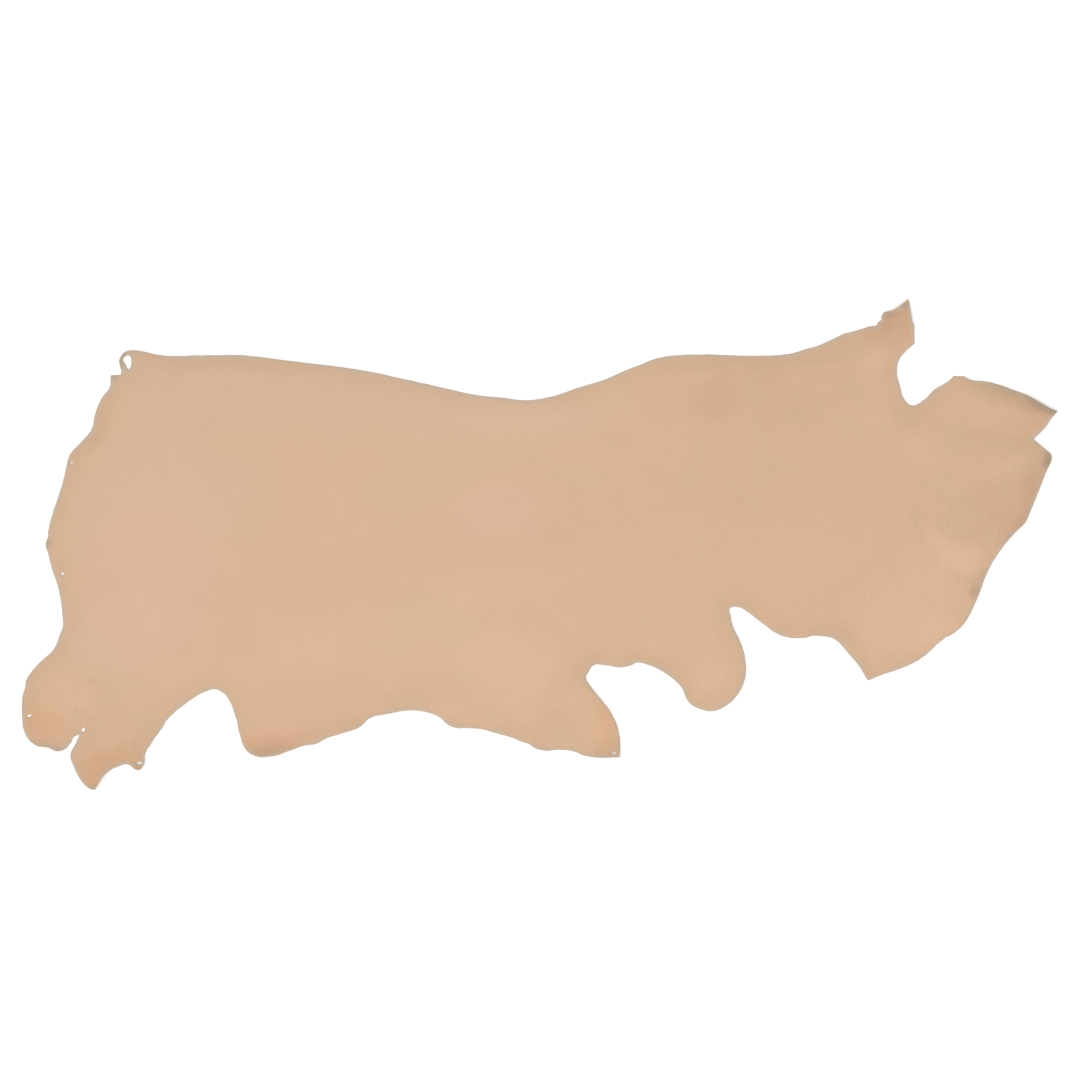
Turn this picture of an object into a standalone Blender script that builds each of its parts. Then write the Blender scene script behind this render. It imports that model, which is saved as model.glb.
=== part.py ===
"""Leather hide: one vegetable-tanned side, laid flat with its grain face up.

+X runs from the butt to the neck, +Y from the belly to the back edge, +Z is up.
The origin is under the middle of the hide, on the surface that it lies on.
"""

import math
from collections import namedtuple

import bmesh
import bpy
from mathutils import Vector
from mathutils.geometry import delaunay_2d_cdt

# Driving dimensions, in metres.
HIDE_LENGTH = 2.400
THICKNESS = 0.0024

# The cutting chart is drawn in centimetres for a hide of this length.
CHART_LENGTH = 240.0
CHART_UNIT = HIDE_LENGTH / CHART_LENGTH
MILLIMETRE = 0.001

# How finely the solid follows the chart.
STEPS_PER_STRETCH = 4
STEPS_PER_HOLE = 3
CELL = 0.044
FINE_CELL = 0.022
EDGE_MARGIN = 0.010
MERGE_DISTANCE = 1e-6
FILL_AROUND_HOLES = 2

LEATHER_COLOUR = (0.700, 0.468, 0.319, 1.0)
LEATHER_ROUGHNESS = 0.55

SMOOTH = "AUTO"
CORNER = "VECTOR"

# A point of the cut edge: its place on the chart, and how the cut passes it.
Cut = namedtuple("Cut", "x y turn", defaults=(SMOOTH,))
# A small hole: its middle and size on the chart, and its lean in degrees.
Hole = namedtuple("Hole", "name x y length width lean")
# A place where the hide stands off the surface: its middle, reach and lean on
# the chart, and its height in millimetres.
Lift = namedtuple("Lift", "name x y length width lean height")

TAIL_ROOT = (
    Cut(32.0, 100.4), Cut(29.0, 101.0), Cut(26.9, 101.4), Cut(25.3, 101.5),
    Cut(23.8, 101.1), Cut(23.0, 100.2), Cut(22.5, 99.2), Cut(22.7, 97.8),
    Cut(23.0, 96.7), Cut(22.8, 95.8, CORNER), Cut(20.5, 95.7, CORNER),
)
BUTT_EDGE = (
    Cut(20.3, 93.0), Cut(18.8, 91.0), Cut(17.8, 89.2), Cut(16.8, 86.6),
    Cut(16.2, 83.4), Cut(14.1, 80.6), Cut(11.1, 77.3), Cut(10.2, 74.4),
    Cut(9.4, 71.0), Cut(7.3, 64.5), Cut(6.0, 59.5), Cut(6.0, 58.4), Cut(5.4, 56.6),
    Cut(6.1, 54.2), Cut(6.9, 50.8), Cut(8.4, 46.5), Cut(9.3, 40.0),
    Cut(9.4, 37.4), Cut(8.8, 35.8), Cut(7.4, 32.4), Cut(4.0, 29.1), Cut(1.8, 26.5),
)
HIND_SHANK = (
    Cut(0.9, 25.0), Cut(0.6, 23.2), Cut(0.1, 21.3), Cut(0.0, 16.0), Cut(0.8, 12.8),
    Cut(2.7, 10.4), Cut(6.3, 9.3), Cut(8.6, 8.6), Cut(10.9, 10.1),
    Cut(11.8, 11.8), Cut(13.4, 12.6, CORNER), Cut(12.4, 10.2), Cut(11.2, 7.8),
    Cut(12.0, 5.0), Cut(14.6, 0.8), Cut(15.8, 0.0), Cut(17.0, -0.2),
    Cut(17.4, 0.6), Cut(19.3, 3.4), Cut(22.0, 5.0), Cut(24.9, 5.5),
    Cut(25.9, 4.6), Cut(27.1, 4.2), Cut(28.2, 5.4), Cut(28.5, 7.8),
)
FLANK_NOTCH = (
    Cut(30.2, 10.8), Cut(32.0, 13.5), Cut(33.8, 16.1), Cut(38.3, 19.9),
    Cut(42.6, 22.5), Cut(44.3, 23.0), Cut(46.2, 22.4), Cut(48.2, 20.0),
    Cut(49.5, 16.6), Cut(50.5, 12.4), Cut(52.1, 8.7), Cut(54.4, 7.5),
)
BELLY = (
    Cut(57.8, 7.5), Cut(62.2, 8.8), Cut(65.6, 9.9), Cut(68.2, 10.3),
    Cut(70.5, 11.6), Cut(74.4, 12.8), Cut(78.1, 14.1), Cut(80.6, 16.3),
    Cut(84.3, 17.2), Cut(92.6, 17.9), Cut(96.4, 16.6), Cut(99.8, 14.2),
    Cut(103.0, 13.9), Cut(106.2, 13.7), Cut(111.5, 12.4), Cut(115.6, 10.9),
    Cut(117.4, 10.2), Cut(119.4, 9.1), Cut(127.1, 8.7), Cut(130.8, 7.5), Cut(134.0, 7.2),
)
FORE_SHANK = (
    Cut(138.6, 7.3, CORNER), Cut(138.3, 13.0), Cut(136.6, 17.3), Cut(134.4, 20.3),
    Cut(132.0, 23.4), Cut(130.7, 25.8), Cut(131.3, 27.0), Cut(132.2, 28.4),
)
ELBOW_NOTCH = (
    Cut(135.6, 28.5), Cut(138.3, 28.1), Cut(141.0, 28.5), Cut(142.6, 29.2),
    Cut(145.6, 28.5), Cut(149.3, 26.5), Cut(152.5, 23.8), Cut(154.8, 19.7),
)
ELBOW_FLAP = (
    Cut(157.2, 18.4), Cut(159.8, 17.9), Cut(162.3, 18.7), Cut(165.3, 21.1),
    Cut(167.4, 25.0), Cut(167.6, 29.8), Cut(166.5, 33.8), Cut(164.7, 37.7),
    Cut(164.2, 40.0), Cut(163.9, 41.6), Cut(165.6, 42.1),
)
BRISKET = (
    Cut(168.8, 40.4), Cut(172.0, 37.9), Cut(176.3, 35.3), Cut(181.3, 34.9),
    Cut(183.2, 35.4), Cut(186.0, 35.2), Cut(188.2, 34.7), Cut(191.5, 31.3),
    Cut(194.5, 27.6), Cut(196.0, 25.0, CORNER), Cut(199.2, 26.3), Cut(204.0, 27.9),
)
NECK_EDGE = (
    Cut(208.2, 30.0), Cut(214.1, 34.9), Cut(216.2, 36.1), Cut(218.6, 38.5),
    Cut(221.6, 44.8), Cut(223.2, 48.9), Cut(226.7, 55.2), Cut(230.0, 59.2),
    Cut(232.4, 61.4), Cut(233.5, 63.6), Cut(235.2, 67.8), Cut(237.3, 73.2), Cut(238.6, 76.5),
)
CHEEK = (
    Cut(238.4, 77.4), Cut(237.6, 78.1), Cut(234.3, 80.9, CORNER), Cut(236.7, 83.2),
    Cut(238.5, 85.9), Cut(240.0, 87.4, CORNER), Cut(238.3, 88.0), Cut(236.4, 89.1),
    Cut(233.4, 90.9), Cut(230.0, 92.3), Cut(223.8, 94.2), Cut(219.8, 94.8),
    Cut(218.4, 95.5, CORNER), Cut(215.9, 95.5, CORNER), Cut(215.2, 94.7),
    Cut(211.2, 92.2), Cut(208.9, 89.9),
)
POLL = (
    Cut(206.2, 88.7), Cut(204.6, 89.9), Cut(203.5, 93.2), Cut(202.7, 97.0),
    Cut(203.4, 99.5), Cut(205.2, 101.6), Cut(206.8, 103.1, CORNER),
    Cut(206.7, 107.4, CORNER), Cut(206.3, 108.0, CORNER), Cut(205.8, 111.0),
    Cut(205.3, 113.3, CORNER), Cut(203.5, 111.9), Cut(201.7, 110.8),
    Cut(199.8, 110.4, CORNER), Cut(199.3, 109.6), Cut(199.2, 108.5, CORNER),
    Cut(198.4, 108.0), Cut(198.0, 107.2, CORNER), Cut(196.9, 107.1), Cut(192.4, 105.8),
)
BACK_EDGE = (
    Cut(189.7, 104.9), Cut(185.6, 103.0), Cut(181.8, 101.8), Cut(177.2, 100.6),
    Cut(168.8, 100.2), Cut(159.5, 100.5), Cut(148.0, 99.8), Cut(142.6, 97.9),
    Cut(139.2, 96.6), Cut(134.0, 94.3), Cut(130.6, 93.3), Cut(123.0, 90.9), Cut(116.8, 89.9),
    Cut(111.0, 90.5), Cut(106.2, 91.0), Cut(87.7, 95.0), Cut(78.4, 96.9),
    Cut(69.1, 98.2), Cut(63.0, 98.9), Cut(51.7, 100.3), Cut(43.0, 100.3),
)
CUT_EDGE = (
    TAIL_ROOT + BUTT_EDGE + HIND_SHANK + FLANK_NOTCH + BELLY + FORE_SHANK + ELBOW_NOTCH
    + ELBOW_FLAP + BRISKET + NECK_EDGE + CHEEK + POLL + BACK_EDGE
)

# The torn hole that leaves a thin loop of hide at the root of the tail.
TAIL_LOOP_HOLE = (
    Cut(23.3, 99.4), Cut(23.9, 100.1), Cut(24.7, 100.4), Cut(25.3, 99.2),
    Cut(25.2, 97.9), Cut(24.6, 96.9, CORNER), Cut(23.8, 98.3),
)
# Holes left by the nails that held the hide on its drying frame.
NAIL_HOLES = (
    Hole("upper butt edge", 11.4, 75.4, 1.2, 0.6, 80),
    Hole("lower butt edge", 9.3, 49.7, 1.2, 0.7, -60),
    Hole("hind toe", 1.6, 16.8, 1.2, 0.6, 28),
    Hole("end of the shank slit", 14.1, 13.5, 1.2, 0.8, 60),
    Hole("hock", 27.1, 5.8, 1.6, 0.8, 8),
    Hole("fore toe", 137.1, 8.2, 1.6, 0.7, -26),
)
HOLE_SIDES = 10

LIFTS = (
    Lift("neck fold", 223.0, 57.0, 16.0, 6.0, 25, 9.0),
    Lift("fold towards the cheek", 228.0, 77.0, 17.0, 6.5, -8, 8.0),
    Lift("cheek rim", 236.0, 87.0, 13.0, 5.0, -25, 9.0),
    Lift("poll point", 205.0, 112.0, 9.0, 7.0, 80, 8.0),
    Lift("lip of the neck edge", 222.5, 45.0, 6.0, 4.0, 70, 5.0),
    Lift("curled flank corner", 58.0, 6.0, 10.0, 5.5, 0, 9.0),
    Lift("hind toe", 3.0, 9.5, 9.0, 6.0, -30, 8.0),
    Lift("hock point", 17.0, -1.0, 10.0, 6.5, 80, 9.0),
    Lift("hock knob", 27.5, 3.5, 6.0, 5.0, 60, 6.0),
    Lift("fore toe", 138.5, 6.0, 9.0, 6.0, 0, 7.0),
    Lift("tail loop", 23.0, 100.5, 6.0, 5.0, 40, 4.0),
)


def chart_point(x, y):
    """Return a chart position in metres."""
    return Vector((x * CHART_UNIT, y * CHART_UNIT))


def remove_scene_objects():
    for old in list(bpy.data.objects):
        bpy.data.objects.remove(old, do_unlink=True)


def curve_through(cuts, steps):
    """Return the points of a closed curve through the cuts, sharp at the corners."""
    data = bpy.data.curves.new("cut_line", "CURVE")
    data.dimensions = "2D"
    data.fill_mode = "NONE"
    data.resolution_u = steps
    data.render_resolution_u = steps
    spline = data.splines.new("BEZIER")
    spline.bezier_points.add(len(cuts) - 1)
    for knot, cut in zip(spline.bezier_points, cuts):
        knot.co = chart_point(cut.x, cut.y).to_3d()
        knot.handle_left_type = cut.turn
        knot.handle_right_type = cut.turn
    spline.use_cyclic_u = True
    guide = bpy.data.objects.new("cut_line", data)
    bpy.context.collection.objects.link(guide)
    bpy.context.view_layer.update()
    line = guide.to_mesh()
    points = [vertex.co.to_2d() for vertex in line.vertices]
    guide.to_mesh_clear()
    bpy.data.objects.remove(guide, do_unlink=True)
    return points


def oval(hole):
    """Return the points of a small oval hole."""
    middle = chart_point(hole.x, hole.y)
    lean = math.radians(hole.lean)
    along = Vector((math.cos(lean), math.sin(lean))) * hole.length * CHART_UNIT / 2
    across = Vector((-math.sin(lean), math.cos(lean))) * hole.width * CHART_UNIT / 2
    turns = [math.tau * side / HOLE_SIDES for side in range(HOLE_SIDES)]
    return [middle + along * math.cos(turn) + across * math.sin(turn) for turn in turns]


def lift_height(lift, point):
    """Return how far one lift raises the hide at a point: a smooth bump of limited reach."""
    lean = math.radians(lift.lean)
    offset = point - chart_point(lift.x, lift.y)
    along = offset.x * math.cos(lean) + offset.y * math.sin(lean)
    across = offset.y * math.cos(lean) - offset.x * math.sin(lean)
    reach = math.hypot(along / lift.length, across / lift.width) / CHART_UNIT
    if reach >= 1.0:
        return 0.0
    return lift.height * MILLIMETRE * math.cos(reach * math.pi / 2) ** 2


def height_at(point):
    return sum(lift_height(lift, point) for lift in LIFTS)


def inside(point, loop):
    """Tell whether a point lies within a closed loop."""
    crossings = 0
    for start, end in zip(loop, loop[1:] + loop[:1]):
        if (start.y > point.y) != (end.y > point.y):
            share = (point.y - start.y) / (end.y - start.y)
            if point.x < start.x + share * (end.x - start.x):
                crossings += 1
    return crossings % 2 == 1


def clear_of(point, loop, margin):
    """Tell whether a point is at least a margin away from every corner of a loop."""
    return all((point - corner).length > margin for corner in loop)


def lattice(outline, holes):
    """Return points spread over the hide, closer together where it stands off the surface."""
    row_step = FINE_CELL * math.sqrt(3) / 2
    stride = round(CELL / FINE_CELL)
    highest = max(point.y for point in outline)
    points = []
    for row in range(math.ceil(highest / row_step)):
        shift = FINE_CELL / 2 if row % 2 else 0.0
        for column in range(math.ceil(HIDE_LENGTH / FINE_CELL)):
            point = Vector((column * FINE_CELL + shift, row * row_step))
            on_wide_lattice = row % stride == 0 and column % stride == 0
            if not on_wide_lattice and height_at(point) == 0.0:
                continue
            if not inside(point, outline) or not clear_of(point, outline, EDGE_MARGIN):
                continue
            if all(clear_of(point, hole, EDGE_MARGIN) for hole in holes):
                points.append(point)
    return points


def hide_sheet(outline, holes):
    """Return the mesh of the flesh side: flat on the surface but for the lifts."""
    points = []
    loops = []
    for loop in [outline] + holes:
        loops.append(range(len(points), len(points) + len(loop)))
        points.extend(loop)
    points.extend(lattice(outline, holes))
    places, _, triangles, *_ = delaunay_2d_cdt(points, [], loops, FILL_AROUND_HOLES, MERGE_DISTANCE)

    centre_x = (min(place.x for place in places) + max(place.x for place in places)) / 2
    centre_y = (min(place.y for place in places) + max(place.y for place in places)) / 2
    shape = bmesh.new()
    corners = [
        shape.verts.new((place.x - centre_x, place.y - centre_y, height_at(place)))
        for place in places
    ]
    for triangle in triangles:
        shape.faces.new([corners[index] for index in triangle])
    bmesh.ops.recalc_face_normals(shape, faces=shape.faces)
    if sum(face.normal.z for face in shape.faces) < 0:
        bmesh.ops.reverse_faces(shape, faces=shape.faces)
    mesh = bpy.data.meshes.new("hide")
    shape.to_mesh(mesh)
    shape.free()
    return mesh


def leather():
    material = bpy.data.materials.new("vegetable_tanned_leather")
    material.use_nodes = True
    shader = material.node_tree.nodes["Principled BSDF"]
    shader.inputs["Base Color"].default_value = LEATHER_COLOUR
    shader.inputs["Roughness"].default_value = LEATHER_ROUGHNESS
    shader.inputs["Metallic"].default_value = 0.0
    return material


def make_hide():
    outline = curve_through(CUT_EDGE, STEPS_PER_STRETCH)
    holes = [curve_through(TAIL_LOOP_HOLE, STEPS_PER_HOLE)]
    holes += [oval(hole) for hole in NAIL_HOLES]
    hide = bpy.data.objects.new("hide", hide_sheet(outline, holes))
    bpy.context.collection.objects.link(hide)
    hide.data.materials.append(leather())
    thickness = hide.modifiers.new("thickness", "SOLIDIFY")
    thickness.thickness = THICKNESS
    thickness.offset = 1.0
    return hide


remove_scene_objects()
make_hide()
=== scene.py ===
import math
import random
from collections import namedtuple

import bmesh
import bpy
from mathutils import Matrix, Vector, kdtree, noise
from mathutils.geometry import delaunay_2d_cdt, interpolate_bezier


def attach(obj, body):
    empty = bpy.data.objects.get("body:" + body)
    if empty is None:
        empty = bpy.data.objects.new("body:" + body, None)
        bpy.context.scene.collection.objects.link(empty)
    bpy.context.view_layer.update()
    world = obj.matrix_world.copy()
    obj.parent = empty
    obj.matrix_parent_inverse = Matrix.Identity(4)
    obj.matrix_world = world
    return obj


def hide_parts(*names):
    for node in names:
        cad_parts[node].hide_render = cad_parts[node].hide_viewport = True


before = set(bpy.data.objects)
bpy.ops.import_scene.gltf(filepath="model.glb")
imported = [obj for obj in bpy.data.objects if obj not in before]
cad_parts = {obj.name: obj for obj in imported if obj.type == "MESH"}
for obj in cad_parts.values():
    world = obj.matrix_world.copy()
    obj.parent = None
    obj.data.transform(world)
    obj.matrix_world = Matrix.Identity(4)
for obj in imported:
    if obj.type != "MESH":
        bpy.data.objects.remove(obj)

# One vegetable-tanned side of cowhide, laid flat with its grain face up.
# The cutting chart is drawn in centimetres, from the hind toe to the cheek and from
# the hock to the poll. Its middle lies over the origin.
CHART_UNIT = 0.010
CHART_MIDDLE = Vector((1.19928, 0.56508))
MILLIMETRE = 0.001

THICKNESS = 0.0024

# How finely the leather is made.
EDGE_STEP = 0.0035
HOLE_STEP = 0.0013
CELL = 0.0075
CELL_JITTER = 0.22
EDGE_MARGIN = 0.0045
MERGE_DISTANCE = 1e-5
FLESH_FACES_DOWN = -0.5
SHARP_TURN = math.radians(38)
SHARP_HOLE_TURN = math.radians(80)
FILL_AROUND_HOLES = 2
SPREAD_SEED = 5
CREASE_ANGLE = math.radians(30)

# The order of the finishes on the leather.
GRAIN, FLESH, EDGE = range(3)

# Smooth unevenness: how many waves there are to a metre, and the layer of noise that they
# are taken from, so that no two kinds of unevenness go together.
Waves = namedtuple("Waves", "per_metre layer")

# How unevenly the edge was trimmed, and where it was done with more or less care.
Ragged = namedtuple("Ragged", "size waves")
TRIM_RAGGED = (Ragged(0.0013, Waves(24.0, 1.7)), Ragged(0.0009, Waves(75.0, 1.7)))
TRIM_CARE = Waves(3.5, 6.1)
EVEN_TRIM = 0.7
TRIM_CHANGE = 0.9
NAIL_HOLE_POINTS = 45
NAIL_HOLE_WEAR = 0.0005

# The profile of the cut edge, worn round: how far each ring of it stands out from the rim
# of the grain side, and at what share of the thickness it lies.
Ring = namedtuple("Ring", "reach share")
EDGE_RINGS = (Ring(0.0006, 0.82), Ring(0.0008, 0.55), Ring(0.0006, 0.20))
EDGE_FRAY = 0.00025
FRAY_PER_METRE = 210.0
FRAY_LAYERS = 9.0

# How the rim curls up and thins, and how uneven the whole sheet is.
EDGE_CURL = 1.6 * MILLIMETRE
CURL_REACH = 0.030
CURL_WAVES = Waves(7.0, 4.1)
CURL_OVERALL = 0.15
UNDULATION = 0.55 * MILLIMETRE
UNDULATION_WAVES = Waves(9.0, 7.9)
THINNING = 0.22
THIN_REACH = 0.035
UNEVEN_THICKNESS = 0.03
THICKNESS_WAVES = Waves(22.0, 2.3)

# A place on the chart with its reach and lean, and how strong it is in the middle.
Place = namedtuple("Place", "name x y length width lean strength")

# Folds and curled points of the hide; the strength is the height in millimetres.
FOLDS = (
    Place("neck fold", 223.0, 57.0, 16.0, 6.0, 25, 9.0),
    Place("fold towards the cheek", 228.0, 77.0, 17.0, 6.5, -8, 8.0),
    Place("cheek rim", 236.0, 87.0, 13.0, 5.0, -25, 9.0),
    Place("poll point", 205.0, 112.0, 9.0, 7.0, 80, 8.0),
    Place("lip of the neck edge", 222.5, 45.0, 6.0, 4.0, 70, 5.0),
    Place("curled flank corner", 58.0, 6.0, 10.0, 5.5, 0, 9.0),
    Place("hind toe", 3.0, 9.5, 9.0, 6.0, -30, 8.0),
    Place("hock point", 17.0, -1.0, 10.0, 6.5, 80, 9.0),
    Place("hock knob", 27.5, 3.5, 6.0, 5.0, 60, 6.0),
    Place("fore toe", 138.5, 6.0, 9.0, 6.0, 0, 7.0),
    Place("tail loop", 23.0, 100.5, 6.0, 5.0, 40, 4.0),
)

# Small unevenness between the folds, in millimetres.
RIPPLES = (
    Place("first neck wrinkle", 197.0, 66.0, 24.0, 2.2, 84, 0.9),
    Place("second neck wrinkle", 205.0, 62.0, 20.0, 2.0, 96, 1.1),
    Place("third neck wrinkle", 212.5, 70.0, 17.0, 2.0, 80, 1.1),
    Place("wrinkle under the poll", 196.0, 92.0, 12.0, 2.2, 60, 1.0),
    Place("wrinkle along the cheek", 222.0, 86.0, 11.0, 1.8, -12, 1.0),
    Place("belly wave by the flank", 72.0, 11.0, 8.0, 4.0, 15, 2.0),
    Place("second belly wave", 88.0, 16.0, 9.0, 4.0, 5, 2.4),
    Place("third belly wave", 103.0, 12.5, 8.0, 4.0, -10, 2.2),
    Place("fourth belly wave", 121.0, 7.5, 8.0, 4.0, -10, 1.8),
    Place("butt edge, low", 8.0, 46.0, 9.0, 3.5, 80, 1.8),
    Place("butt edge, high", 12.5, 78.0, 9.0, 3.5, 60, 2.2),
    Place("elbow flap", 160.0, 18.0, 8.0, 5.0, 0, 2.6),
    Place("elbow notch", 164.0, 43.0, 7.0, 4.0, 60, 2.0),
    Place("brisket", 184.0, 34.0, 10.0, 4.0, 0, 1.8),
    Place("brisket point", 196.0, 25.0, 6.0, 4.5, 90, 3.6),
    Place("fold of the fore shank", 134.0, 20.0, 10.0, 2.5, 60, 1.6),
    Place("fold of the hind shank", 12.0, 21.0, 12.0, 3.0, 20, 2.0),
    Place("back edge by the poll", 186.0, 104.0, 10.0, 3.5, 20, 2.0),
)

# Lighter and darker parts of the grain, in steps of lightness. Most are the leather's own tone, but
# the poll, the rim and corner of the cheek and the neck trough hold painted shade, and the neck
# ridge and its root a painted highlight.
TONES_AND_PAINTED_LIGHT = (
    Place("whole side", 72.0, 45.0, 80.0, 50.0, 0, 0.8),
    Place("belly half", 78.0, 26.0, 78.0, 22.0, 0, 0.9),
    Place("dip of the back", 114.0, 86.0, 20.0, 8.0, 0, 2.4),
    Place("rim of the croup", 46.0, 99.5, 32.0, 4.5, -2, -2.6),
    Place("rump", 33.0, 57.0, 28.0, 21.0, 80, 1.8),
    Place("thigh", 24.0, 36.0, 18.0, 13.0, 20, 1.8),
    Place("flank patch", 67.0, 33.0, 16.0, 10.0, 10, 1.9),
    Place("dark flank", 50.0, 34.0, 9.0, 6.0, 70, -1.4),
    Place("belly patch", 113.0, 26.0, 19.0, 13.0, -25, 3.7),
    Place("upper belly", 92.0, 36.0, 20.0, 12.0, 20, 1.4),
    Place("streak over the belly", 107.0, 47.0, 20.0, 7.0, 5, 2.2),
    Place("ribs", 111.0, 66.0, 16.0, 10.0, 10, 2.2),
    Place("shoulder", 172.0, 92.0, 36.0, 14.0, 0, -2.4),
    Place("base of the neck", 174.0, 71.0, 30.0, 16.0, 0, -1.9),
    Place("brisket and elbow", 166.0, 30.0, 46.0, 15.0, 0, 2.0),
    Place("fore shank", 134.0, 15.0, 10.0, 15.0, 0, 3.4),
    Place("first dark patch", 160.5, 90.0, 8.0, 7.0, 60, -3.2),
    Place("second dark patch", 171.0, 95.5, 7.0, 5.0, 0, -1.8),
    Place("third dark patch", 181.0, 87.0, 5.0, 6.0, 90, -1.6),
    Place("fourth dark patch", 192.0, 94.0, 5.0, 6.0, 90, -1.6),
    Place("edge of the shoulder", 165.0, 100.5, 36.0, 4.0, 0, -2.2),
    Place("elbow flap", 160.0, 24.0, 8.0, 8.0, 0, 1.6),
    # painted shade on the lifted poll point
    Place("poll", 203.0, 111.0, 12.0, 9.0, 60, -10.0),
    Place("edge under the poll", 193.0, 104.0, 14.0, 7.0, 25, -3.0),
    Place("poll notch", 206.0, 86.0, 6.0, 5.0, 0, -1.6),
    # painted shade in the trough between the neck folds, and at its mouth
    Place("neck trough", 230.0, 67.0, 18.0, 8.5, 8, -3.4),
    Place("mouth of the neck trough", 236.0, 71.0, 9.0, 7.0, 70, -4.4),
    # painted highlight along the neck ridge, and on its root
    Place("neck ridge", 217.5, 54.4, 14.0, 4.0, -27, 4.6),
    Place("root of the neck ridge", 210.0, 52.0, 12.0, 8.0, -20, 1.8),
    Place("low neck", 207.0, 40.0, 19.0, 15.0, 10, 4.2),
    Place("edge of the low neck", 213.0, 36.0, 9.0, 5.0, 40, 4.0),
    Place("low rim of the belly", 97.0, 16.0, 28.0, 4.5, -6, 3.6),
    Place("low rim of the fore belly", 122.0, 9.0, 13.0, 4.5, -12, 4.2),
    # painted shade along the lifted rim of the cheek
    Place("rim of the cheek", 228.0, 93.0, 17.0, 5.0, -18, -8.0),
    Place("cheek", 220.0, 80.5, 14.0, 9.0, -10, -1.4),
    Place("root of the cheek", 209.0, 78.0, 8.0, 7.0, 0, 2.2),
    # painted shade at the lifted corner of the cheek
    Place("cheek corner", 236.0, 87.0, 9.0, 6.0, 0, -5.5),
    Place("hind toe", 4.0, 15.5, 8.0, 4.0, -15, -3.4),
    Place("hock", 20.0, 5.0, 13.0, 6.5, 10, -3.4),
    Place("light of the shank", 12.0, 22.0, 10.0, 4.5, -15, 2.6),
    Place("flank corner", 58.0, 9.0, 12.0, 4.5, 8, -4.4),
    Place("fore toe", 136.0, 9.0, 7.0, 3.5, 0, -3.4),
    Place("high butt edge", 14.5, 84.0, 14.0, 6.0, 60, -2.4),
    Place("hind shank", 8.0, 14.0, 14.0, 16.0, 0, 2.4),
)

# Parts that are more orange, or pinker where the strength is below nought.
WARMTHS = (
    Place("rump", 30.0, 62.0, 44.0, 27.0, 80, -3.9),
    Place("back edge", 66.0, 90.0, 58.0, 14.0, -6, -3.6),
    Place("croup", 40.0, 98.0, 16.0, 7.0, 0, -3.0),
    Place("middle of the back", 106.0, 66.0, 36.0, 20.0, 0, -1.9),
    Place("thigh", 18.0, 34.0, 16.0, 14.0, 0, -2.4),
    Place("front of the thigh", 32.0, 42.0, 13.0, 15.0, 0, -1.8),
    Place("front of the rump", 51.0, 67.0, 12.0, 14.0, 0, -1.9),
    Place("withers", 129.0, 88.0, 16.0, 9.0, 18, -2.4),
    Place("saddle", 108.0, 86.0, 32.0, 9.0, -2, -3.0),
    Place("shoulder patch", 161.0, 90.0, 8.0, 8.0, 60, -0.5),
    Place("ribs", 108.0, 66.0, 15.0, 8.0, 0, -1.2),
    Place("upper belly", 96.0, 40.0, 22.0, 12.0, 25, -1.9),
    Place("belly patch", 110.0, 26.0, 14.0, 8.0, 0, -1.2),
    Place("hind toe", 5.0, 15.0, 8.0, 6.0, -15, 5.0),
    Place("hock", 18.0, 4.0, 12.0, 8.0, 20, 5.0),
    Place("flank corner", 58.0, 11.0, 14.0, 5.0, 8, 3.2),
    Place("fore toe", 135.5, 13.0, 11.0, 5.5, 90, 3.6),
    Place("cheek", 232.0, 85.0, 11.0, 7.0, -20, 2.0),
    Place("poll", 202.0, 109.0, 10.0, 7.0, 60, 4.2),
    Place("neck edge", 232.0, 66.0, 12.0, 6.0, 60, 2.0),
)

# Parts with a rosy cast, or a sallow one where the strength is below nought.
BLUSHES = (
    Place("middle of the side", 112.0, 57.0, 32.0, 15.0, 10, 2.5),
    Place("ribs", 112.0, 68.0, 20.0, 9.0, 20, 1.0),
    Place("saddle", 102.0, 84.0, 28.0, 11.0, -5, -1.6),
    Place("rump", 31.0, 46.0, 26.0, 26.0, 0, 2.1),
    Place("withers", 135.0, 89.5, 12.0, 8.0, 18, -1.1),
    Place("shoulder patch", 161.0, 90.0, 8.0, 8.0, 60, 1.6),
    Place("high rump", 22.0, 84.0, 13.0, 12.0, 10, -0.9),
    Place("hind toe", 5.0, 13.0, 8.0, 6.0, 0, 3.0),
    Place("hock", 18.0, 4.0, 11.0, 7.0, 20, 3.6),
    Place("flank corner", 60.0, 12.0, 13.0, 4.5, 8, 3.4),
    Place("fore toe", 135.0, 12.0, 10.0, 5.0, 90, 2.2),
    Place("cheek corner", 234.0, 86.0, 8.0, 6.0, -20, 2.0),
    Place("neck edge", 231.0, 62.0, 12.0, 5.0, 60, 2.0),
    Place("poll", 204.0, 105.0, 9.0, 6.0, 80, 1.6),
)
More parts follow.
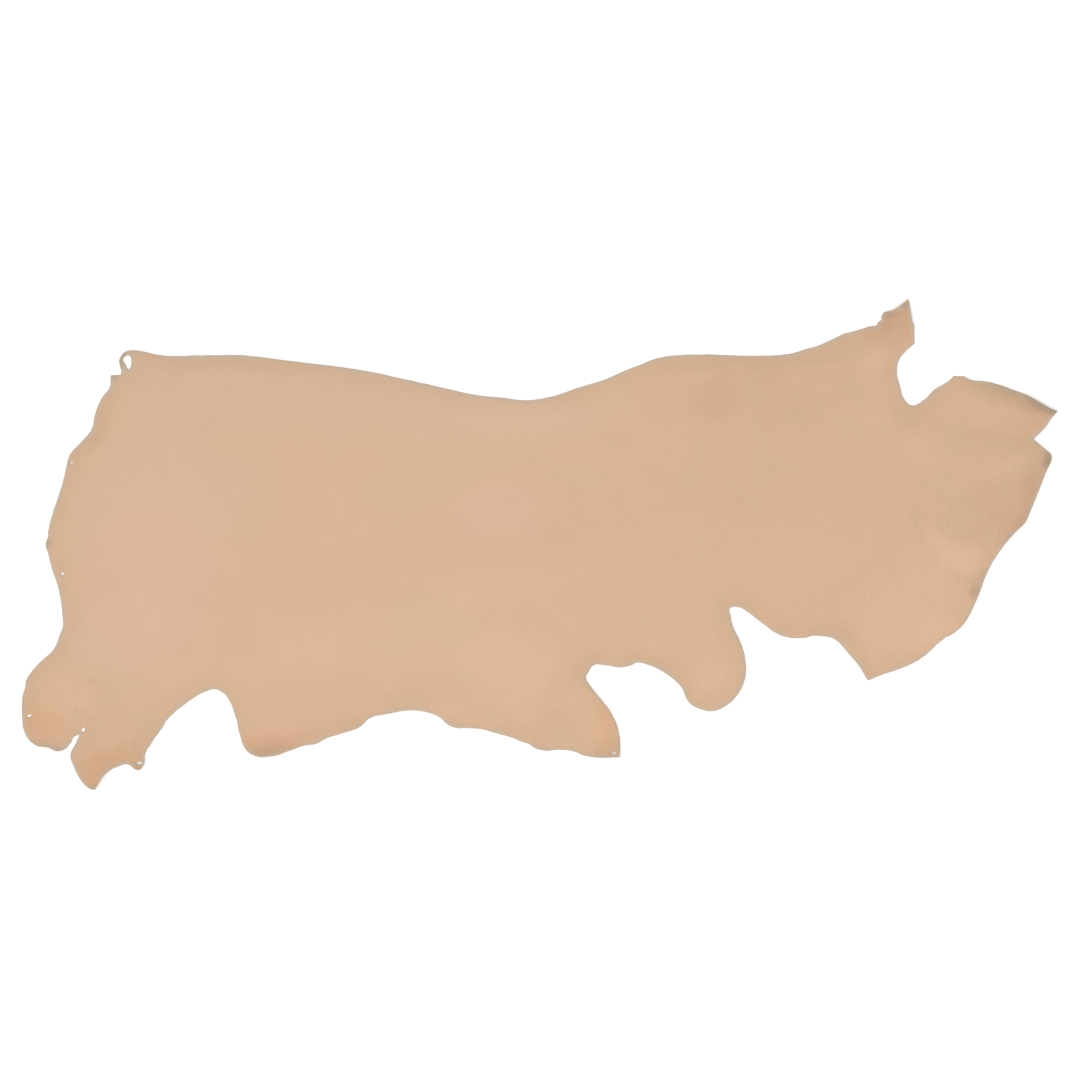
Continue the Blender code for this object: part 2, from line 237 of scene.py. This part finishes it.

# Corners and rims painted darker and greyer; the strength is a share. Along the lifted rims of the
# poll, cheek and neck this is painted shade on the side away from the light; at the tips of the
# shanks, the butt and the tail loop it is a darker, greyer patch.
DARK_RIMS_AND_PAINTED_SHADE = (
    Place("tip of the poll", 204.8, 112.6, 2.4, 1.8, 60, 0.9),
    Place("knob of the poll", 201.2, 110.0, 2.8, 1.5, 15, 0.5),
    Place("high rim of the cheek", 228.5, 92.6, 8.0, 1.5, -18, 0.6),
    Place("low rim of the cheek", 235.6, 89.2, 5.0, 1.7, -28, 0.8),
    Place("tip of the cheek", 239.2, 87.3, 2.6, 1.6, -20, 1.0),
    Place("cheek corner", 238.0, 76.2, 3.4, 2.0, 72, 0.9),
    Place("lip of the neck", 220.9, 45.6, 2.2, 1.9, 60, 0.7),
    Place("rim over the lip", 222.6, 49.5, 3.0, 1.1, 62, 0.3),
    Place("rim of the neck", 229.5, 59.3, 6.0, 1.3, 45, 0.3),
    Place("bend of the neck", 233.0, 63.2, 4.0, 1.6, 60, 0.2),
    Place("knob of the hock", 27.0, 4.6, 1.8, 1.3, 0, 0.4),
    Place("tip of the hock", 16.6, 0.3, 2.2, 1.3, 0, 0.5),
    Place("low rim of the hind toe", 5.0, 9.8, 4.6, 1.2, -14, 0.4),
    Place("knob of the hind toe", 8.7, 9.0, 1.6, 1.1, 0, 0.5),
    Place("low rim of the flank corner", 56.0, 8.2, 5.5, 1.4, 6, 0.3),
    Place("low rim of the fore toe", 135.0, 7.7, 4.5, 1.0, 0, 0.2),
    Place("nose of the butt", 5.8, 56.9, 1.4, 1.9, 0, 0.6),
    Place("notch under the tail", 21.1, 95.2, 1.8, 1.2, -30, 0.6),
    Place("tail loop", 23.1, 98.9, 3.4, 1.4, 66, 0.8),
)

# Parts where the skin is loose and its grain is coarser; the strength is a share.
LOOSE_PARTS = (
    Place("neck", 222.0, 66.0, 46.0, 40.0, 90, 1.0),
    Place("belly", 95.0, 12.0, 66.0, 26.0, 3, 0.8),
    Place("hind shank", 12.0, 14.0, 28.0, 22.0, 0, 1.0),
    Place("fore shank", 135.0, 18.0, 22.0, 18.0, 60, 0.9),
    Place("elbow", 160.0, 30.0, 18.0, 24.0, 90, 0.7),
    Place("brisket", 190.0, 38.0, 34.0, 16.0, 10, 0.6),
)

# How soft the border of a patch is, and how it wanders.
PATCH_BORDER = 0.65
Stray = namedtuple("Stray", "reach per_metre")
STRAYS = (Stray(0.022, 9.0), Stray(0.009, 38.0))
STRAY_LAYERS = (0.4, 5.3)


def on_chart(x, y):
    """Return a chart position in metres, from the middle of the hide."""
    return Vector((x, y)) * CHART_UNIT - CHART_MIDDLE


def reach_of(place, point):
    """Return how far off a place a point is: nought in its middle and one on its border."""
    lean = math.radians(place.lean)
    offset = point - on_chart(place.x, place.y)
    along = offset.x * math.cos(lean) + offset.y * math.sin(lean)
    across = offset.y * math.cos(lean) - offset.x * math.sin(lean)
    return math.hypot(along / place.length, across / place.width) / CHART_UNIT


def height_at(places, point):
    """Return the height of all the folds at a point, each a soft hump."""
    reaches = ((place, reach_of(place, point)) for place in places)
    heights = (
        place.strength * math.cos(reach * math.pi / 2) ** 2
        for place, reach in reaches if reach < 1.0
    )
    return sum(heights) * MILLIMETRE


def strength_at(places, point):
    """Return the strength of all the patches at a point, each even but for a soft border."""
    total = 0.0
    for place in places:
        inward = min(1.0, (1.0 - reach_of(place, point)) / PATCH_BORDER)
        if inward > 0.0:
            total += place.strength * inward * inward * (3.0 - 2.0 * inward)
    return total


def unevenness(point, waves):
    """Return smooth noise from about -1 to 1."""
    return noise.noise(Vector((point.x * waves.per_metre, point.y * waves.per_metre, waves.layer)))


def wandering(point):
    """Return a point moved a little, so that an oval place gets a natural border."""
    moved = point.copy()
    for stray in STRAYS:
        push = [unevenness(point, Waves(stray.per_metre, layer)) for layer in STRAY_LAYERS]
        moved += Vector(push) * stray.reach
    return moved


def open_rims(shape):
    """Return, for each corner on an open rim of a shape, the next corner along the rim."""
    following = {}
    for edge in shape.edges:
        if edge.is_boundary:
            corner = edge.link_loops[0]
            following[corner.vert] = corner.link_loop_next.vert
    return following


def edge_loops(node):
    """Return the cut edge and the holes as loops of flat points, the hide on their right."""
    shape = bmesh.new()
    shape.from_mesh(node.data)
    bmesh.ops.remove_doubles(shape, verts=shape.verts, dist=MERGE_DISTANCE)
    shape.normal_update()
    others = [face for face in shape.faces if face.normal.z > FLESH_FACES_DOWN]
    bmesh.ops.delete(shape, geom=others, context="FACES")
    following = open_rims(shape)
    loops = []
    while following:
        loop = []
        corner = next(iter(following))
        while corner in following:
            loop.append(corner.co.to_2d())
            corner = following.pop(corner)
        loops.append(loop)
    shape.free()
    return sorted(loops, key=len, reverse=True)


def heading(before, here, after, straight, sharp_turn):
    """Return the direction of the cut at a point, straight on at a sharp corner."""
    if (here - before).angle(after - here) > sharp_turn:
        return straight.normalized()
    return (after - before).normalized()


def smooth_loop(points, step, sharp_turn):
    """Return the loop as closely spaced points on a smooth curve."""
    smooth = []
    for index, start in enumerate(points):
        before = points[index - 1]
        end = points[(index + 1) % len(points)]
        after = points[(index + 2) % len(points)]
        straight = end - start
        reach = straight.length / 3
        leave = start + heading(before, start, end, straight, sharp_turn) * reach
        arrive = end - heading(start, end, after, straight, sharp_turn) * reach
        count = max(1, round(straight.length / step))
        smooth.extend(interpolate_bezier(start, leave, arrive, end, count + 1)[:-1])
    return smooth


def outward(before, after):
    """Return the direction away from the hide, which lies on the right of the cut."""
    along = (after - before).normalized()
    return Vector((-along.y, along.x))


def trimmed(loop):
    """Return the loop as it was trimmed by hand, or a nail hole with its rim worn back."""
    cut = []
    for index, point in enumerate(loop):
        away = outward(loop[index - 1], loop[(index + 1) % len(loop)])
        if len(loop) < NAIL_HOLE_POINTS:
            cut.append(point - away * NAIL_HOLE_WEAR)
            continue
        rough = EVEN_TRIM + TRIM_CHANGE * unevenness(point, TRIM_CARE)
        ragged = sum(ragged.size * unevenness(point, ragged.waves) for ragged in TRIM_RAGGED)
        cut.append(point + away * (ragged * rough - EDGE_RINGS[0].reach))
    return cut


def row_spans(height, loops):
    """Return where a row at this height enters and leaves the hide."""
    crossings = []
    for loop in loops:
        for index, end in enumerate(loop):
            start = loop[index - 1]
            if (start.y > height) != (end.y > height):
                share = (height - start.y) / (end.y - start.y)
                crossings.append(start.x + share * (end.x - start.x))
    crossings.sort()
    return list(zip(crossings[::2], crossings[1::2]))


def inner_points(loops, edge_tree):
    """Return points spread over the hide, a little irregularly, clear of its edges."""
    spread = random.Random(SPREAD_SEED)
    row_step = CELL * math.sqrt(3) / 2
    lowest = min(point.y for point in loops[0])
    highest = max(point.y for point in loops[0])
    points = []
    for row in range(1, math.ceil((highest - lowest) / row_step)):
        height = lowest + row * row_step
        for enter, leave in row_spans(height, loops):
            column = math.floor(enter / CELL) + (row % 2) / 2
            while column * CELL < leave:
                jitter = Vector((spread.uniform(-1, 1), spread.uniform(-1, 1))) * CELL * CELL_JITTER
                point = Vector((column * CELL, height)) + jitter
                column += 1
                if enter < point.x < leave and edge_tree.find(point.to_3d())[2] > EDGE_MARGIN:
                    points.append(point)
    return points


def tree_of(points):
    tree = kdtree.KDTree(len(points))
    for index, point in enumerate(points):
        tree.insert(point.to_3d(), index)
    tree.balance()
    return tree


def flat_sheet(loops, inner):
    """Return the hide as flat points and triangles."""
    points = []
    rings = []
    for loop in loops:
        rings.append(range(len(points), len(points) + len(loop)))
        points.extend(loop)
    points.extend(inner)
    places, _, triangles, *_ = delaunay_2d_cdt(points, [], rings, FILL_AROUND_HOLES, MERGE_DISTANCE)
    return places, triangles


def flesh_height(point, from_edge):
    """Return how far the flesh side is off the surface that the hide lies on."""
    near = max(0.0, 1.0 - from_edge / CURL_REACH)
    curl = EDGE_CURL * near ** 2 * max(0.0, unevenness(point, CURL_WAVES) + CURL_OVERALL)
    rolling = UNDULATION * max(0.0, unevenness(point, UNDULATION_WAVES))
    return height_at(FOLDS, point) + height_at(RIPPLES, wandering(point)) + curl + rolling


def thickness_at(point, from_edge):
    near = max(0.0, 1.0 - from_edge / THIN_REACH)
    spread = UNEVEN_THICKNESS * unevenness(point, THICKNESS_WAVES)
    return THICKNESS * (1.0 - THINNING * near ** 2 + spread)


def edge_column(shape, grain_corner, flesh_corner, away):
    """Return the corners down the cut edge at one point, from the grain to the flesh side."""
    low = flesh_corner.co
    rise = grain_corner.co.z - low.z
    column = [grain_corner]
    for ring in EDGE_RINGS:
        fray = EDGE_FRAY * unevenness(low, Waves(FRAY_PER_METRE, ring.share * FRAY_LAYERS))
        side = low.to_2d() + away * (ring.reach + fray)
        column.append(shape.verts.new((side.x, side.y, low.z + rise * ring.share)))
    column.append(flesh_corner)
    return column


def add_cut_edge(shape, grain_over):
    """Close the gap between the two sides of the sheet, all round the hide and its holes."""
    rims = open_rims(shape)
    following = {corner: after for corner, after in rims.items() if corner in grain_over}
    previous = {after: before for before, after in following.items()}
    columns = {}
    for corner, after in following.items():
        away = outward(previous[corner].co.to_2d(), after.co.to_2d())
        columns[corner] = edge_column(shape, grain_over[corner], corner, away)
    for corner, after in following.items():
        here = columns[corner]
        there = columns[after]
        for step in range(len(EDGE_RINGS) + 1):
            corners = (here[step], here[step + 1], there[step + 1], there[step])
            shape.faces.new(corners).material_index = EDGE


def hide_shell(places, triangles, distances):
    """Return the closed sheet: grain side, flesh side and the cut edge between them."""
    shape = bmesh.new()
    flesh = []
    grain = []
    for place, from_edge in zip(places, distances):
        low = flesh_height(place, from_edge)
        flesh.append(shape.verts.new((place.x, place.y, low)))
        grain.append(shape.verts.new((place.x, place.y, low + thickness_at(place, from_edge))))
    for triangle in triangles:
        shape.faces.new([grain[index] for index in triangle]).material_index = GRAIN
        shape.faces.new([flesh[index] for index in reversed(triangle)]).material_index = FLESH
    shape.verts.index_update()
    add_cut_edge(shape, dict(zip(flesh, grain)))
    bmesh.ops.recalc_face_normals(shape, faces=shape.faces)
    return shape


def keep(mesh, name, values):
    """Keep one number for each point of the leather under a name that its finish reads."""
    mesh.attributes.new(name, "FLOAT", "POINT").data.foreach_set("value", values)


def mark_parts(mesh, cut_edges):
    """Keep what the finish of the grain side needs to know about each point."""
    spots = [vertex.co.to_2d() for vertex in mesh.vertices]
    strayed = [wandering(spot) for spot in spots]
    keep(mesh, "from_edge", [cut_edges.find(spot.to_3d())[2] for spot in spots])
    for name, places in (("tone_and_painted_light", TONES_AND_PAINTED_LIGHT), ("warmth", WARMTHS), ("blush", BLUSHES)):
        keep(mesh, name, [strength_at(places, spot) for spot in strayed])
    # painted shade along the lifted rims of the poll, cheek and neck, and darker tips elsewhere
    keep(mesh, "dark_rims_and_painted_shade", [min(1.0, strength_at(DARK_RIMS_AND_PAINTED_SHADE, spot)) for spot in spots])
    keep(mesh, "looseness", [min(1.0, strength_at(LOOSE_PARTS, spot)) for spot in strayed])


def make_hide(node):
    outline, *holes = edge_loops(node)
    loops = [trimmed(smooth_loop(outline, EDGE_STEP, SHARP_TURN))]
    loops.extend(trimmed(smooth_loop(hole, HOLE_STEP, SHARP_HOLE_TURN)) for hole in holes)
    all_edges = tree_of([point for loop in loops for point in loop])
    cuts = [loop for loop in loops if len(loop) >= NAIL_HOLE_POINTS]
    cut_edges = tree_of([point for loop in cuts for point in loop])
    places, triangles = flat_sheet(loops, inner_points(loops, all_edges))
    distances = [cut_edges.find(place.to_3d())[2] for place in places]
    shape = hide_shell(places, triangles, distances)
    mesh = bpy.data.meshes.new("leather_side")
    shape.to_mesh(mesh)
    shape.free()
    mark_parts(mesh, cut_edges)
    side = bpy.data.objects.new("leather_side", mesh)
    bpy.context.collection.objects.link(side)
    bpy.context.view_layer.objects.active = side
    side.select_set(True)
    bpy.ops.object.shade_smooth_by_angle(angle=CREASE_ANGLE)
    side.select_set(False)
    return side


class Reading:
    """A value, colour or vector in a finish that takes part in Python sums."""

    def __init__(self, finish, socket):
        self.finish = finish
        self.socket = socket

    def sum_with(self, operation, first, second):
        return self.finish.node("ShaderNodeMath", {"operation": operation}, {0: first, 1: second})

    def __add__(self, other):
        return self.sum_with("ADD", self, other)

    def __radd__(self, other):
        return self.sum_with("ADD", other, self)

    def __sub__(self, other):
        return self.sum_with("SUBTRACT", self, other)

    def __rsub__(self, other):
        return self.sum_with("SUBTRACT", other, self)

    def __mul__(self, other):
        return self.sum_with("MULTIPLY", self, other)

    def __rmul__(self, other):
        return self.sum_with("MULTIPLY", other, self)

    def __truediv__(self, other):
        return self.sum_with("DIVIDE", self, other)

    def __abs__(self):
        return self.sum_with("ABSOLUTE", self, 0.0)


class Finish:
    """A material built from nodes."""

    def __init__(self, name):
        self.material = bpy.data.materials.new(name)
        self.material.use_nodes = True
        self.tree = self.material.node_tree
        self.tree.nodes.clear()
        self.where = self.node("ShaderNodeTexCoord", {}, {}, "Object")

    def node(self, kind, settings, sockets, output=None):
        """Add a node: its settings first, then the values or links of its sockets."""
        node = self.tree.nodes.new(kind)
        for name, setting in settings.items():
            setattr(node, name, setting)
        for name, value in sockets.items():
            socket = self.socket_of(node.inputs, name)
            if isinstance(value, Reading):
                self.tree.links.new(value.socket, socket)
            else:
                socket.default_value = value
        if not node.outputs:
            return node
        if output is None:
            output = next(out.name for out in node.outputs if out.enabled)
        return Reading(self, self.socket_of(node.outputs, output))

    @staticmethod
    def socket_of(sockets, name):
        if isinstance(name, int):
            return sockets[name]
        return next(socket for socket in sockets if socket.name == name and socket.enabled)

    def stored(self, name):
        return self.node("ShaderNodeAttribute", {"attribute_name": name}, {}, "Fac")

    def noise(self, per_metre, detail, roughness, where=None):
        """Return soft noise from about 0 to 1."""
        sockets = {
            "Vector": where or self.where, "Scale": per_metre,
            "Detail": detail, "Roughness": roughness,
        }
        return self.node("ShaderNodeTexNoise", {}, sockets)

    def uneven(self, per_metre, detail, roughness, where=None):
        """Return soft noise on both sides of nought."""
        return self.noise(per_metre, detail, roughness, where) - NOISE_MIDDLE

    def cells(self, per_metre, feature, where=None):
        sockets = {"Vector": where or self.where, "Scale": per_metre}
        return self.node("ShaderNodeTexVoronoi", {"feature": feature}, sockets, "Distance")

    def ramp(self, value, low, high, start=0.0, end=1.0):
        """Return a smooth change from start to end as the value goes from low to high."""
        sockets = {"Value": value, "From Min": low, "From Max": high, "To Min": start, "To Max": end}
        return self.node("ShaderNodeMapRange", {"interpolation_type": "SMOOTHSTEP"}, sockets)

    def blend(self, share, first, second):
        sockets = {"Factor": share, "A": first, "B": second}
        return self.node("ShaderNodeMix", {"data_type": "RGBA"}, sockets)

    def tint(self, share, colour, dye):
        sockets = {"Factor": share, "A": colour, "B": dye}
        return self.node("ShaderNodeMix", {"data_type": "RGBA", "blend_type": "MULTIPLY"}, sockets)

    def moved(self, offset):
        return self.node("ShaderNodeMapping", {}, {"Vector": self.where, "Location": offset})

    def stretched(self, where, scale, turn):
        sockets = {"Vector": where, "Rotation": (0.0, 0.0, math.radians(turn)), "Scale": scale}
        return self.node("ShaderNodeMapping", {}, sockets)

    def bent(self, per_metre, reach):
        """Return places that stray by up to about half the reach, in waves of the given number."""
        sockets = {"Vector": self.where, "Scale": per_metre, "Detail": 1.0}
        stray = self.node("ShaderNodeTexNoise", {}, sockets, "Color")
        push = self.node("ShaderNodeVectorMath", {"operation": "SCALE"}, {0: stray, "Scale": reach})
        return self.node("ShaderNodeVectorMath", {"operation": "ADD"}, {0: self.where, 1: push})

    def bump(self, height, distance):
        sockets = {"Height": height, "Distance": distance, "Strength": 1.0}
        return self.node("ShaderNodeBump", {}, sockets)

    def surface(self, sockets):
        shader = self.node("ShaderNodeBsdfPrincipled", {}, sockets)
        self.node("ShaderNodeOutputMaterial", {}, {"Surface": shader})
        return self.material


def shade(red, green, blue):
    """Return a colour for a shader from screen levels out of 255."""
    levels = [level / 255 for level in (red, green, blue)]
    linear = [((level + 0.055) / 1.055) ** 2.4 for level in levels]
    return (*linear, 1.0)


# Colours of undyed leather.
DEEP_TAN = shade(174, 141, 113)
LIGHT_TAN = shade(222, 184, 151)
TONE_RANGE = 20.0
TINT_RANGE = 8.0
ORANGE_DYE = (1.035, 0.99, 0.87, 1.0)
PINK_DYE = (0.965, 1.0, 1.10, 1.0)
ROSE_DYE = (1.05, 0.93, 1.0, 1.0)
SALLOW_DYE = (0.955, 1.05, 1.0, 1.0)
WORN_RIM = (0.945, 0.95, 0.935, 1.0)
DRY_EDGE = shade(182, 168, 152)
SPECK_BROWN = (0.90, 0.87, 0.83, 1.0)
# grey darkening of rims and tips, partly painted shade
DARK_RIM_AND_SHADE_GREY = (0.70, 0.735, 0.74, 1.0)
FLESH_PALE = shade(222, 196, 166)
FLESH_DEEP = shade(198, 166, 134)
EDGE_PALE = shade(205, 172, 140)
EDGE_DEEP = shade(168, 128, 96)

# How strongly the marks of the grain show in its colour, as shares of the way from deep to
# light tan, and how high the skin stands between them, as shares of the relief.
Mark = namedtuple("Mark", "colour relief")
# The darker colour along creases and pores and in the neck furrows is painted shade in these
# hollows.
CREASES = Mark(0.05, 0.30)
PEBBLES = Mark(0.0, 0.45)
PORES = Mark(0.05, 0.16)
FURROWS = Mark(0.025, 0.5)
VEINS = Mark(0.018, 0.25)
GRAIN_RELIEF = 0.0005
FLESH_RELIEF = 0.0006
EDGE_RELIEF = 0.0004
FIRM_CREASES = 0.6
LOOSE_CREASES = 0.4

# How strongly the unevenness of the tanning shows.
MIDDLE_LIGHTNESS = 0.560
CLOUDS_SHOW = 0.08
MOTTLE_SHOWS = 0.10
FLECK_SHOWS = 0.055
BLOTCHES_SHOW = 5.0
NOISE_MIDDLE = 0.5

# How far the rim is worn and dried, and how much of it shows.
WORN_REACH = 0.060
DRY_REACH = 0.011
DRY_FROM = 0.001
DRY_SHARE = 0.62

GrainMarks = namedtuple("GrainMarks", "creases pebbles pores furrows veins")


def grain_marks(finish):
    """Return the marks of the grain: nought along a crease or pore, and one between them."""
    pores = finish.ramp(finish.cells(1500.0, "F1"), 0.15, 0.50)
    bent = finish.bent(60.0, 0.006)
    creases = finish.ramp(finish.cells(330.0, "DISTANCE_TO_EDGE", bent), 0.0, 0.16)
    pebbles = finish.ramp(finish.cells(150.0, "DISTANCE_TO_EDGE", bent), 0.0, 0.20)
    across_neck = finish.stretched(finish.bent(4.0, 0.10), (24.0, 6.0, 20.0), 14.0)
    bowed = finish.uneven(per_metre=1.0, detail=2.0, roughness=0.5, where=across_neck)
    furrows = finish.ramp(abs(bowed), 0.0, 0.030)
    winding = finish.uneven(per_metre=11.0, detail=3.0, roughness=0.55, where=finish.bent(7.0, 0.08))
    veins = finish.ramp(abs(winding), 0.0, 0.016)
    return GrainMarks(creases, pebbles, pores, furrows, veins)


def tanned(finish, marks, loose, mottle, fleck):
    """Return the colour of the sound grain, with painted shade and highlight from the tone table and
    painted shade in its hollows: its lightness first, then its hue.
    """
    clouds = finish.uneven(per_metre=2.6, detail=3.0, roughness=0.55)
    lightness = (
        MIDDLE_LIGHTNESS + finish.stored("tone_and_painted_light") / (2 * TONE_RANGE)
        + clouds * CLOUDS_SHOW + mottle * MOTTLE_SHOWS + fleck * FLECK_SHOWS
        # painted shade in the creases, pores and neck furrows
        + (marks.creases - 1.0) * CREASES.colour + (marks.pores - 1.0) * PORES.colour
        + (marks.furrows - 1.0) * loose * FURROWS.colour + (marks.veins - 1.0) * VEINS.colour
    )
    elsewhere = finish.moved((3.0, 7.0, 0.0))
    blotches = finish.uneven(per_metre=9.0, detail=3.0, roughness=0.6, where=elsewhere)
    warmth = finish.stored("warmth") + blotches * BLOTCHES_SHOW
    blush = finish.stored("blush")
    colour = finish.blend(lightness, DEEP_TAN, LIGHT_TAN)
    colour = finish.tint(warmth / TINT_RANGE, colour, ORANGE_DYE)
    colour = finish.tint(warmth / -TINT_RANGE, colour, PINK_DYE)
    colour = finish.tint(blush / TINT_RANGE, colour, ROSE_DYE)
    return finish.tint(blush / -TINT_RANGE, colour, SALLOW_DYE)


def worn(finish, colour, mottle, fleck):
    """Return the colour with its brown specks, its worn and dried rim, and its darker rims and
    corners, which along the poll, cheek and neck are painted shade.
    """
    specks = finish.ramp(finish.cells(26.0, "F1", finish.bent(90.0, 0.01)), 0.035, 0.075, 1.0, 0.0)
    colour = finish.tint(specks * finish.ramp(mottle, 0.02, 0.12), colour, SPECK_BROWN)
    from_edge = finish.stored("from_edge")
    wander = from_edge + mottle * 0.03
    colour = finish.tint(finish.ramp(wander, 0.0, WORN_REACH, 1.0, 0.0), colour, WORN_RIM)
    ragged = from_edge + fleck * 0.008 + mottle * 0.020
    dried = finish.ramp(ragged, DRY_FROM, DRY_REACH, DRY_SHARE, 0.0)
    colour = finish.blend(dried, colour, DRY_EDGE)
    # painted shade on the lifted rims of the poll, cheek and neck, and darker greyer tips elsewhere
    return finish.tint(finish.stored("dark_rims_and_painted_shade") * (0.9 + mottle * 1.2), colour, DARK_RIM_AND_SHADE_GREY)


def grain_finish():
    finish = Finish("grain_side")
    loose = finish.stored("looseness")
    mottle = finish.uneven(per_metre=15.0, detail=4.0, roughness=0.6)
    fleck = finish.uneven(per_metre=140.0, detail=3.0, roughness=0.65)
    marks = grain_marks(finish)
    colour = worn(finish, tanned(finish, marks, loose, mottle, fleck), mottle, fleck)
    relief = (
        marks.creases * (FIRM_CREASES + loose * LOOSE_CREASES) * CREASES.relief
        + marks.pebbles * loose * PEBBLES.relief + marks.pores * PORES.relief
        + marks.furrows * loose * FURROWS.relief + marks.veins * VEINS.relief
    )
    roughness = 0.50 + mottle * 0.12 + fleck * 0.12 + loose * 0.05 - marks.creases * 0.03
    return finish.surface({
        "Base Color": colour, "Roughness": roughness, "Specular IOR Level": 0.35,
        "Normal": finish.bump(relief, GRAIN_RELIEF),
    })


def flesh_finish():
    finish = Finish("flesh_side")
    along_fibres = finish.stretched(finish.where, (90.0, 420.0, 200.0), 25.0)
    nap = finish.noise(per_metre=500.0, detail=4.0, roughness=0.7)
    strands = finish.noise(per_metre=1.0, detail=4.0, roughness=0.65, where=along_fibres)
    patches = finish.noise(per_metre=9.0, detail=4.0, roughness=0.6)
    lightness = nap * 0.35 + strands * 0.35 + patches * 0.5 - 0.1
    return finish.surface({
        "Base Color": finish.blend(lightness, FLESH_DEEP, FLESH_PALE),
        "Roughness": 0.95, "Specular IOR Level": 0.15, "Sheen Weight": 0.25, "Sheen Roughness": 0.6,
        "Normal": finish.bump(nap + strands * 1.5, FLESH_RELIEF),
    })


def edge_finish():
    finish = Finish("cut_edge")
    fibres = finish.noise(per_metre=900.0, detail=3.0, roughness=0.7)
    patches = finish.noise(per_metre=30.0, detail=3.0, roughness=0.6)
    return finish.surface({
        "Base Color": finish.blend(fibres * 0.5 + patches * 0.5, EDGE_DEEP, EDGE_PALE),
        "Roughness": 0.85, "Specular IOR Level": 0.25,
        "Normal": finish.bump(fibres, EDGE_RELIEF),
    })


# The stage: a plain pale floor, soft light from above, and the camera straight over the hide.
FLOOR_SIZE = 80.0
FLOOR_COLOUR = (0.97, 0.97, 0.968, 1.0)
SKY_STRENGTH = 0.88
LAMP_STRENGTH = 1.10
LAMP_SOFTNESS = math.radians(70)
LAMP_TILT = (math.radians(24), math.radians(-20), 0.0)
VIEW_SIDE = 2.5045
VIEW_MIDDLE = (0.0010, 0.0104)
CAMERA_HEIGHT = 6.5
FILM_WIDTH = 36.0


def make_floor():
    bpy.ops.mesh.primitive_plane_add(size=FLOOR_SIZE)
    floor = bpy.context.active_object
    floor.name = "floor"
    finish = Finish("pale_floor")
    floor.data.materials.append(finish.surface({
        "Base Color": FLOOR_COLOUR, "Roughness": 0.9, "Specular IOR Level": 0.0,
    }))


def make_light():
    world = bpy.data.worlds.new("studio")
    world.use_nodes = True
    sky = world.node_tree.nodes["Background"]
    sky.inputs["Color"].default_value = (1.0, 1.0, 1.0, 1.0)
    sky.inputs["Strength"].default_value = SKY_STRENGTH
    bpy.context.scene.world = world
    lamp_data = bpy.data.lights.new("soft_lamp", "SUN")
    lamp_data.energy = LAMP_STRENGTH
    lamp_data.angle = LAMP_SOFTNESS
    lamp = bpy.data.objects.new("soft_lamp", lamp_data)
    lamp.rotation_euler = LAMP_TILT
    bpy.context.collection.objects.link(lamp)


def make_camera():
    camera_data = bpy.data.cameras.new("camera")
    camera_data.sensor_width = FILM_WIDTH
    camera_data.lens = FILM_WIDTH * CAMERA_HEIGHT / VIEW_SIDE
    camera = bpy.data.objects.new("camera", camera_data)
    camera.location = (*VIEW_MIDDLE, CAMERA_HEIGHT)
    bpy.context.collection.objects.link(camera)
    bpy.context.scene.camera = camera
    bpy.context.scene.view_settings.view_transform = "Standard"


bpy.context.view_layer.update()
bpy.ops.object.select_all(action="DESELECT")
make_camera()
make_light()
make_floor()
hide = make_hide(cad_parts["hide"])
for material in (grain_finish(), flesh_finish(), edge_finish()):
    hide.data.materials.append(material)
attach(hide, "root")
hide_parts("hide")
